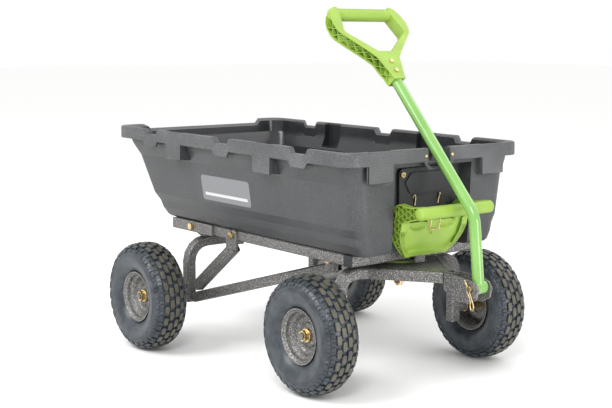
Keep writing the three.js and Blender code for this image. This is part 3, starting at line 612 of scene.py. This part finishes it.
# Spark-eroded grain is about 0.5 mm and is drawn at 1 mm so that it shows.
black_nylon = moulded("black nylon", [(0.35, "#191a1c"), (0.65, "#242628")], 0.42, 0.6, 0.001)
panel_x = 643.4


def facing_front(y, z, w):
    return at(panel_x + w, y, z)


points, faces = [], []
edge = [(-77, 309), (-77, 472), (-70, 480), (70, 480), (77, 472), (77, 309), (73, 305.4), (-73, 305.4)]
add_prism(points, faces, edge, facing_front, 0, 9)
field = [(-45, 470), (-62, 449), (-49, 425), (49, 425), (62, 449), (45, 470)]
add_prism(points, faces, field, facing_front, 8.5, 12.2)
inner_frame = [(-34, 420), (-34, 350), (34, 350), (34, 420)]
add_prism(points, faces, inner_frame, facing_front, 8.5, 10.2)
for side in (-1, 1):
    lug = [(650, 397), (650, 369), (660, 372), (668, 383), (660, 394)]
    add_prism(points, faces, lug, lambda u, v, w, s=side: at(u, s * w, v), 62, 72)
cover = mesh_piece("latch_cover", points, faces, [black_nylon], "tub_body",
                   ["latch_panel"])
soften(cover, 1.0)
# Each slot is a thin black plate on the panel's face, painted shade that stands for the dark opening.
slot_y, slot_half, slot_low, slot_high = 34, 2.2, 394, 421
points, faces = [], []
for side in (-1, 1):
    right, left = side * slot_y - slot_half, side * slot_y + slot_half
    slot = [(right, slot_low), (right, slot_high), (left, slot_high), (left, slot_low)]
    add_prism(points, faces, slot, facing_front, 10.0, 10.5)
shadow_black = moulded("unlit slot", [(0.35, "#050505"), (0.65, "#0a0a0a")], 0.8, 0.95, 0.001)
mesh_piece("panel_slot_shade", points, faces, [shadow_black], "tub_body")


def swept(name, path, radius, sides, finish, body, stands_for=()):
    points, faces = [], []
    ahead = [(b - a).normalized() for a, b in zip(path, path[1:])]
    ways = [ahead[0]] + [(a + b).normalized() for a, b in zip(ahead, ahead[1:])] + [ahead[-1]]
    across = ways[0].orthogonal().normalized()
    for spot, way in zip(path, ways):
        across = (across - way * across.dot(way)).normalized()
        up = way.cross(across)
        for i in range(sides):
            a = 2 * math.pi * i / sides
            points.append(spot + (across * math.cos(a) + up * math.sin(a)) * radius * MM)
    for k in range(len(path) - 1):
        for i in range(sides):
            j = (i + 1) % sides
            faces.append((k * sides + i, k * sides + j, (k + 1) * sides + j, (k + 1) * sides + i))
    faces.append(tuple(reversed(range(sides))))
    faces.append(tuple((len(path) - 1) * sides + i for i in range(sides)))
    mesh_piece(name, points, faces, [finish], body, stands_for, sharp=50)


def eased(corners, steps=8):
    ends = [corners[0] * 2 - corners[1]] + list(corners) + [corners[-1] * 2 - corners[-2]]
    path = []
    for p, q, r, s in zip(ends, ends[1:], ends[2:], ends[3:]):
        for k in range(steps):
            t = k / steps
            path.append(0.5 * ((2 * q) + (r - p) * t + (2 * p - 5 * q + 4 * r - s) * t * t
                               + (3 * q - p - 3 * r + s) * t ** 3))
    return path + [corners[-1]]


hook = [(654, 34, 398), (656, 34.2, 408), (658, 35, 416), (658, 37, 421), (655, 38.4, 419),
        (653, 38.6, 414)]
for side, tag in ((-1, "r"), (1, "l")):
    swept("latch_wire_" + tag, eased([at(x, side * y, z) for x, y, z in hook]), 1.3, 10, zinc,
          "tub_body")

# ---- Rail end caps: injection-moulded black nylon ----
# A square cap is pushed into each open end of the front cross rail.
# It is the same nylon as the latch panel, with softly rounded edges.
dress(["rail_end_cap_r", "rail_end_cap_l"], black_nylon, edge=1.2)

# ---- Rest-bolt washers: flat steel washers ----
# A round washer lies under the head of each rest bolt, against the rail.
# It is the same yellow zinc-plated steel as the bolts.
washer = [(9.2, 0.05), (12.6, 0.05), (12.8, 0.4), (12.6, 1.3), (9.2, 1.3)]
for side, tag in ((-1, "r"), (1, "l")):
    low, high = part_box("rest_tab_bolt_" + tag)
    rail_low, rail_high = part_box("side_rail_" + tag)
    face = rail_low.y if side < 0 else rail_high.y
    centre = Vector(((low.x + high.x) / 2, face, (low.z + high.z) / 2))
    turned("rest_washer_" + tag, washer, centre, side, 32, zinc, "chassis")

# ---- Release lever: injection-moulded lime nylon ----
# The lever hangs on its pin: two ribbed side webs, a dished skirt and a round cross bar.
# Nylon is moulded in one shot, with honeycomb ribs left open on the outer sides of the webs.
lime = moulded("lime nylon", [(0.3, "#88a83f"), (0.7, "#96b549")], 0.34, 0.5, 0.0011)
# The floors between the ribs are the same lime nylon, darkened to paint the shade deep in the cells.
lime_painted_shade = moulded("lime nylon, painted shade between the ribs", [(0.3, "#4d7a1f"), (0.7, "#5c8a29")],
                    0.5, 0.7, 0.0011)
web_out, web_in = 97, 81
web = [
    (645.5, 372), (645.5, 388), (650, 395), (658, 399.5), (668, 405), (676, 408.5), (690, 406),
    (704, 404.5), (720, 406), (742, 409), (742, 381), (722, 378), (704, 374), (692, 370.5), (684, 366),
    (681, 350), (676, 335), (668, 312), (661, 298), (654, 286), (645.5, 286),
]


def shrunk(outline, inset):
    smaller = []
    for i, (x, y) in enumerate(outline):
        before, after = Vector(outline[i - 1]), Vector(outline[(i + 1) % len(outline)])
        here = Vector((x, y))
        a, b = (here - before).normalized(), (after - here).normalized()
        normal = Vector((-(a.y + b.y), a.x + b.x)).normalized()
        turn = max(0.5, normal.dot(Vector((-b.y, b.x))))
        smaller.append(tuple(here + normal * inset / turn))
    return smaller


def finely(outline, step):
    dense = []
    for a, b in zip(outline, outline[1:] + outline[:1]):
        parts = max(1, round(math.dist(a, b) / step))
        for k in range(parts):
            dense.append((a[0] + (b[0] - a[0]) * k / parts, a[1] + (b[1] - a[1]) * k / parts))
    return dense


def inside(outline, x, y):
    odd = False
    for (ax, ay), (bx, by) in zip(outline, outline[1:] + outline[:1]):
        if (ay > y) != (by > y) and x < ax + (y - ay) / (by - ay) * (bx - ax):
            odd = not odd
    return odd


def area(outline):
    return sum(a[0] * b[1] - b[0] * a[1] for a, b in zip(outline, outline[1:] + outline[:1])) / 2


def add_ring(points, faces, outer, inner, place, low, high):
    first, n = len(points), len(outer)
    for w, outline in ((low, outer), (high, outer), (high, inner), (low, inner)):
        points += [place(u, v, w) for u, v in outline]
    for ring in range(4):
        for i in range(n):
            j = (i + 1) % n
            a, b = first + ring * n, first + (ring + 1) % 4 * n
            faces.append((a + i, a + j, b + j, b + i))


def circle(x, y, radius, sides=24):
    turn = 2 * math.pi / sides
    return [(x + radius * math.cos(turn * k), y + radius * math.sin(turn * k)) for k in range(sides)]


web = finely(web, 6)
if area(web) < 0:
    web.reverse()
pin_x, pin_z = 658, 383
# The honeycomb is a square patch of cells laid over the web. Only ribs inside the web are kept.
cell, rib_half, patch = 8.2, 1.1, 10
patch_x, patch_z = 640, 282
points, faces, floors = [], [], []
for side in (-1, 1):
    def place(u, v, w, s=side):
        return at(u, s * w, v)
    add_ring(points, faces, web, shrunk(web, 2.6), place, web_in, web_out)
    floors.append(len(faces))
    add_prism(points, faces, shrunk(web, 0.6), place, web_in - 0.4, web_in + 2)
    floors.append(len(faces))
    boss, bore = circle(pin_x, pin_z, 8.6), circle(pin_x, pin_z, 5.6)
    add_ring(points, faces, boss, bore, place, web_in, web_out)
    core = shrunk(web, 1.6)
    done = set()
    for i in range(patch):
        for j in range(patch):
            cx = patch_x + cell * 1.5 * i
            cz = patch_z + cell * math.sqrt(3) * (j + 0.5 * (i % 2))
            for k in range(6):
                turn, after = math.pi / 3 * k, math.pi / 3 * (k + 1)
                a = [cx + cell * math.cos(turn), cz + cell * math.sin(turn)]
                b = [cx + cell * math.cos(after), cz + cell * math.sin(after)]
                key = (round(a[0] + b[0]), round(a[1] + b[1]))
                middle = ((a[0] + b[0]) / 2, (a[1] + b[1]) / 2)
                near_pin = math.dist(middle, (pin_x, pin_z)) < 8
                if key in done or near_pin or not inside(core, *middle):
                    continue
                done.add(key)
                # A rib that leaves the web is shortened towards its middle.
                for end in (a, b):
                    while not inside(core, *end) and math.dist(end, middle) > 0.6:
                        end[0] += (middle[0] - end[0]) * 0.12
                        end[1] += (middle[1] - end[1]) * 0.12
                way = (Vector(b) - Vector(a)).normalized()
                off = Vector((-way.y, way.x)) * rib_half
                strip = [tuple(spot) for spot in
                         (Vector(a) - off, Vector(b) - off, Vector(b) + off, Vector(a) + off)]
                add_prism(points, faces, strip, place, web_in + 1, web_out - 1.2)

# The skirt is a shell that follows the webs' front edge, with a dished field and a hand window.
front_edge = [(684, 367), (681, 350), (676, 335), (668, 312), (661, 298), (654.5, 287)]
lengths = [0]
for a, b in zip(front_edge, front_edge[1:]):
    lengths.append(lengths[-1] + math.dist(a, b))


def skirt_spot(t):
    for k in range(len(lengths) - 1):
        if t <= lengths[k + 1] + 1e-6:
            f = (t - lengths[k]) / (lengths[k + 1] - lengths[k])
            a, b = Vector(front_edge[k]), Vector(front_edge[k + 1])
            way = (b - a).normalized()
            return a + (b - a) * f, Vector((-way.y, way.x))


def ramped(value, low, high):
    t = min(1, max(0, (value - low) / (high - low)))
    return t * t * (3 - 2 * t)


across, down = 97, 50
skirt_half, skirt_thick = 96, 3
# The dished field ends 83 mm from the middle and 74 mm down. Two finger scoops deepen its top.
# The middle tab, which the bail hooks, stands proud of the dish.
field_half, field_low = 83, 74
first = len(points)
for skin in (0, skirt_thick):
    for r in range(down + 1):
        t = lengths[-1] * r / down
        spot, out = skirt_spot(t)
        for c in range(across + 1):
            y = -skirt_half + 2 * skirt_half * c / across
            corner_room = (field_half - abs(y) + field_low - t) * 0.7 - 9
            edge_room = min(field_half - abs(y), t + 3, field_low - t, corner_room)
            dish = 7 * ramped(edge_room, 0, 3.5)
            scoop = 9 * ramped(1 - ((abs(y) - 41) / 27) ** 2 - ((t - 5) / 20) ** 2, 0, 0.3)
            proud = 5 * ramped(14 - abs(y) - t * 0.25, 0, 4) * ramped(36 - t, 0, 4)
            sunk = skin + dish + scoop - proud
            points.append(at(spot.x - out.x * sunk, y, spot.y - out.y * sunk))


def window(r, c):
    t = lengths[-1] * (r + 0.5) / down
    y = -skirt_half + 2 * skirt_half * (c + 0.5) / across
    return 15 < abs(y) < 66 and t < 7


row, sheet = across + 1, (across + 1) * (down + 1)
for r in range(down):
    for c in range(across):
        if window(r, c):
            continue
        corner = first + r * row + c
        quad = (corner, corner + 1, corner + row + 1, corner + row)
        faces.append(quad)
        faces.append(tuple(v + sheet for v in reversed(quad)))
        for a, b, dr, dc in ((0, 1, -1, 0), (1, 2, 0, 1), (2, 3, 1, 0), (3, 0, 0, -1)):
            nr, nc = r + dr, c + dc
            if nr < 0 or nr >= down or nc < 0 or nc >= across or window(nr, nc):
                faces.append((quad[b], quad[a], quad[a] + sheet, quad[b] + sheet))

# Below the window the whole lever narrows to its rounded foot.
pinch_top, pinch_low, foot = 352, 286, 0.6
for p in points:
    z = p.z / MM
    if z < pinch_top:
        t = (pinch_top - z) / (pinch_top - pinch_low)
        p.y *= 1 - (1 - foot) * t ** 1.9
# The floors of the honeycomb take the second finish, a darker lime that is painted shade deep between the
# ribs.
marks = [0] * len(faces)
for start, stop in (floors[:2], floors[2:]):
    marks[start:stop] = [1] * (stop - start)
mesh_piece("ribbed_lever", points, faces, [lime, lime_painted_shade], "lever",
           ["release_lever"], sharp=34, marks=marks)


def gripped_bar(name, centre, axis, up, half, radius, body, plain=0):
    # Small diamonds, 4.5 mm long and 22 round the bar, are moulded into its skin.
    points, faces = [], []
    side = axis.cross(up)
    rings, sides = 200, 88
    pitch, around, relief = 4.5, 22, 0.45
    for k in range(rings + 1):
        v = -half + 2 * half * k / rings
        tip = max(0.0, abs(v) - (half - 6)) / 6
        for i in range(sides):
            a = 2 * math.pi * i / sides
            p = v / pitch + a * around / (2 * math.pi)
            q = v / pitch - a * around / (2 * math.pi)
            ridge = relief * abs(math.sin(math.pi * p)) * abs(math.sin(math.pi * q))
            r = radius * math.sqrt(max(0.0, 1 - 0.8 * tip * tip)) - relief
            r += ridge if abs(v) < half - 8 - plain else 0.3
            points.append(centre + (axis * v + (up * math.cos(a) + side * math.sin(a)) * r) * MM)
    for k in range(rings):
        for i in range(sides):
            j = (i + 1) % sides
            faces.append((k * sides + i, k * sides + j, (k + 1) * sides + j, (k + 1) * sides + i))
    faces.append(tuple(reversed(range(sides))))
    faces.append(tuple(rings * sides + i for i in range(sides)))
    mesh_piece(name, points, faces, [lime], body, sharp=50)


gripped_bar("lever_bar", at(745, 0, 395), Vector((0, 1, 0)), Vector((0, 0, 1)), 107, 14, "lever")

# ---- Latch wire bail: bent zinc-plated spring wire ----
# A U of 3 mm wire hangs from the lever and closes round the middle tab of its window.
# It is bent cold from round wire and leans with the skirt behind it.
bail = [(-13, 370), (-13, 350), (-11.5, 346.5), (11.5, 346.5), (13, 350), (13, 370)]
path = []
for (ay, az), (by, bz) in zip(bail, bail[1:]):
    for k in range(4):
        y, z = ay + (by - ay) * k / 4, az + (bz - az) * k / 4
        path.append(at(685 - (367 - z) * 0.18, y, z))
path.append(at(685.5, 13, 370))
swept("wire_bail", path, 1.5, 12, zinc, "lever", ["latch_spring_bail"])

# ---- Kingpin thrust disc: punched nylon sheet ----
# A lime nylon disc keeps the turning plates apart, so they don't rub metal on metal.
# It is punched from flat sheet and is held only by the kingpin bolt.
dress(["kingpin_thrust_disc"], lime, edge=0.5)

# ---- Pull tube: bent steel tube in green powder coat ----
# A 25 mm round tube is bent once and welded to a short cross sleeve at its foot.
# Powder coat is baked on in one thick, glossy layer with a very slight orange peel.
green_coat, tree, shader, where = new_finish("green powder coat", Coat_Weight=0.6, Coat_Roughness=0.08)
tone = add_node(tree, "TexNoise", {"Scale": 1 / 0.09, "Detail": 3.0}, {"Vector": where})
ramp = add_node(tree, "ValToRGB", {}, {"Fac": tone.outputs["Fac"]})
tree.links.new(spread(ramp, [(0.3, "#6fa14b"), (0.7, "#7bab56")]), shader.inputs["Base Color"])
gloss = add_node(tree, "MapRange", {"To Min": 0.2, "To Max": 0.32}, {"Value": tone.outputs["Fac"]})
tree.links.new(gloss.outputs["Result"], shader.inputs["Roughness"])
# Orange peel in powder coat has waves about 3 mm long.
peel = add_node(tree, "TexNoise", {"Scale": 1 / 0.003, "Detail": 1.0}, {"Vector": where})
bump = add_node(tree, "Bump", {"Strength": 0.08, "Distance": 0.0004}, {"Height": peel.outputs["Fac"]})
tree.links.new(bump.outputs["Normal"], shader.inputs["Normal"])


def bent(a, b, c, radius, steps=14):
    back, ahead = (a - b).normalized(), (c - b).normalized()
    half = back.angle(ahead) / 2
    centre = b + (back + ahead).normalized() * radius / math.sin(half)
    start = b + back * radius / math.tan(half) - centre
    stop = b + ahead * radius / math.tan(half) - centre
    sweep = start.angle(stop)
    path = []
    for k in range(steps + 1):
        t = k / steps
        path.append(centre + start * (math.sin((1 - t) * sweep) / math.sin(sweep))
                    + stop * (math.sin(t * sweep) / math.sin(sweep)))
    return [a] + path + [c]


hitch_x, hitch_z = 818, 240
pin = at(hitch_x, 0, hitch_z)
grip_foot = at(553, 0, 660)
swept("green_pull_tube", bent(pin, at(802, 0, 392), grip_foot, 0.065), 12.5, 40, green_coat,
      "handle", ["pull_tube"])
sleeve = [(6.4, -16), (13.2, -16), (14, -15.2), (14, 15.2), (13.2, 16), (6.4, 16)]
turned("green_cross_sleeve", sleeve, pin, 1, 48, green_coat, "handle")

# ---- D grip: injection-moulded lime nylon ----
# The grip is two face plates joined by an inner wall, with crossed ribs left open at the sides.
# Its foot is a socket over the tube's end, held by two screws through the front face.
along = Vector((-0.65, 0, 0.76)).normalized()
through = Vector((0, 1, 0)).cross(along)
grip_half, face_thick = 14.5, 3.4


def on_grip(u, v, w):
    return grip_foot + (Vector((0, u, 0)) + along * v + through * w) * MM


half_outer = [(16, -2), (20, 16), (26, 34), (31, 56), (44, 72), (100, 128), (106, 140), (107, 160),
              (102, 178), (92, 196), (84, 203)]
half_inner = [(74, 203), (76, 178), (87, 136), (84, 129), (20, 76)]
half_behind = [(24, 71), (87, 124), (92, 136), (81, 179), (79, 203)]


def mirrored(outline):
    return outline + [(-u, v) for u, v in reversed(outline)]


plate = mirrored(half_outer + half_inner)
socket = mirrored([(15.5, -2), (15.5, 58), (12, 72)])
points, faces = [], []
add_prism(points, faces, plate, on_grip, grip_half - face_thick, grip_half)
add_prism(points, faces, plate, on_grip, -grip_half, -grip_half + face_thick)
inner_wall = half_inner + [(0, 76), (0, 71)] + half_behind
for side in (-1, 1):
    arm = [(side * u, v) for u, v in inner_wall]
    add_prism(points, faces, arm, on_grip, -grip_half + 1, grip_half - 1)
add_prism(points, faces, socket, on_grip, -grip_half + 1, grip_half - 1)
frame_piece = mesh_piece("d_grip_frame", points, faces, [lime], "handle", ["d_grip"])
soften(frame_piece, 0.9, 40)

# Two ribs cross in each bay between the inner wall and the outer edge.
cross_rib_half, rib_trim = 0.8, 1.2
points, faces = [], []
inner_line = [(15.5, 6), (15.5, 30), (17, 54), (27, 76), (46, 92), (64, 107), (81, 122), (91, 139),
              (85, 163)]
outer_line = [(18.5, 6), (24.5, 30), (30.5, 54), (46, 76), (62, 92), (78, 108), (95, 125), (104, 142),
              (105, 163)]
for side in (-1, 1):
    for k in range(len(inner_line) - 1):
        for low, high in ((1, -1), (-1, 1)):
            corners_here = []
            for index, depth in ((k, low), (k + 1, high)):
                for (u, v), trim in ((inner_line[index], 0), (outer_line[index], rib_trim)):
                    corners_here.append((side * (u - trim), v, depth * (grip_half - 3)))
            first = len(points)
            for shift in (-cross_rib_half, cross_rib_half):
                points += [on_grip(u, v + shift, w) for u, v, w in corners_here]
            quad = (first, first + 1, first + 3, first + 2)
            faces.append(quad)
            faces.append(tuple(i + 4 for i in reversed(quad)))
            for i in range(4):
                j = (i + 1) % 4
                faces.append((quad[i], quad[i] + 4, quad[j] + 4, quad[j]))
mesh_piece("d_grip_ribs", points, faces, [lime], "handle")
gripped_bar("d_grip_bar", on_grip(0, 191, 0), Vector((0, 1, 0)), along, 92, 14.6, "handle", plain=12)

# ---- Hairpin clip: bent zinc-plated spring wire ----
# The clip's straight leg passes through the end of the hitch pin and its wavy leg holds round it.
# It is 2.8 mm spring wire with an open eye, and it hangs in front of the tongue's ear.
clip = [(-15, 17), (-7, 5), (0, -8), (7, -21), (12.5, -32), (13.5, -39), (10, -43.5), (5, -43), (2.2, -37),
        (2.6, -28), (0.6, -17), (-5, -9), (-7.6, -1), (-10, 8), (-17, 11)]
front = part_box("clevis_pin")[0].y / MM
wave = [at(hitch_x + x, front + 3.4 + 0.9 * math.sin(i), hitch_z + z) for i, (x, z) in enumerate(clip)]
swept("wire_hairpin", eased(wave), 1.4, 12, zinc, "hitch_pin", ["hairpin_clip"])

# ---- Floor and light ----
# A plain pale floor runs out under the cart, with an even white sky around it.
# Four soft panels stand at the front right, the right, the left and low in front.
floor_white, _, shader, _ = new_finish("pale floor", Roughness=0.9)
shader.inputs["Base Color"].default_value = shade("#fcfcfb")
bpy.ops.mesh.primitive_plane_add(size=40, location=(0, 0, 0))
ground = bpy.context.object
ground.name = "pale_floor"
ground.data.materials.append(floor_white)
world = bpy.data.worlds.new("even sky")
bpy.context.scene.world = world
world.use_nodes = True
world.node_tree.nodes["Background"].inputs["Color"].default_value = (1, 1, 1, 1)
world.node_tree.nodes["Background"].inputs["Strength"].default_value = 1.0
bpy.context.scene.view_settings.view_transform = "Standard"
cart_middle = Vector((0, 0, 0.3))
panels = [
    ((2.4, -2.2, 2.6), 0.9, 46), ((-0.6, -3.2, 3.4), 2.2, 104),
    ((0.5, 3.0, 2.8), 2.4, 26), ((3.6, 0.6, 0.7), 1.2, 34),
]
for place, size, power in panels:
    lamp = bpy.data.lights.new("soft panel", "AREA")
    lamp.size = size
    lamp.energy = power
    lit = bpy.data.objects.new("soft_panel", lamp)
    bpy.context.scene.collection.objects.link(lit)
    lit.location = place
    lit.rotation_mode = "QUATERNION"
    lit.rotation_quaternion = (cart_middle - Vector(place)).to_track_quat("-Z", "Y")
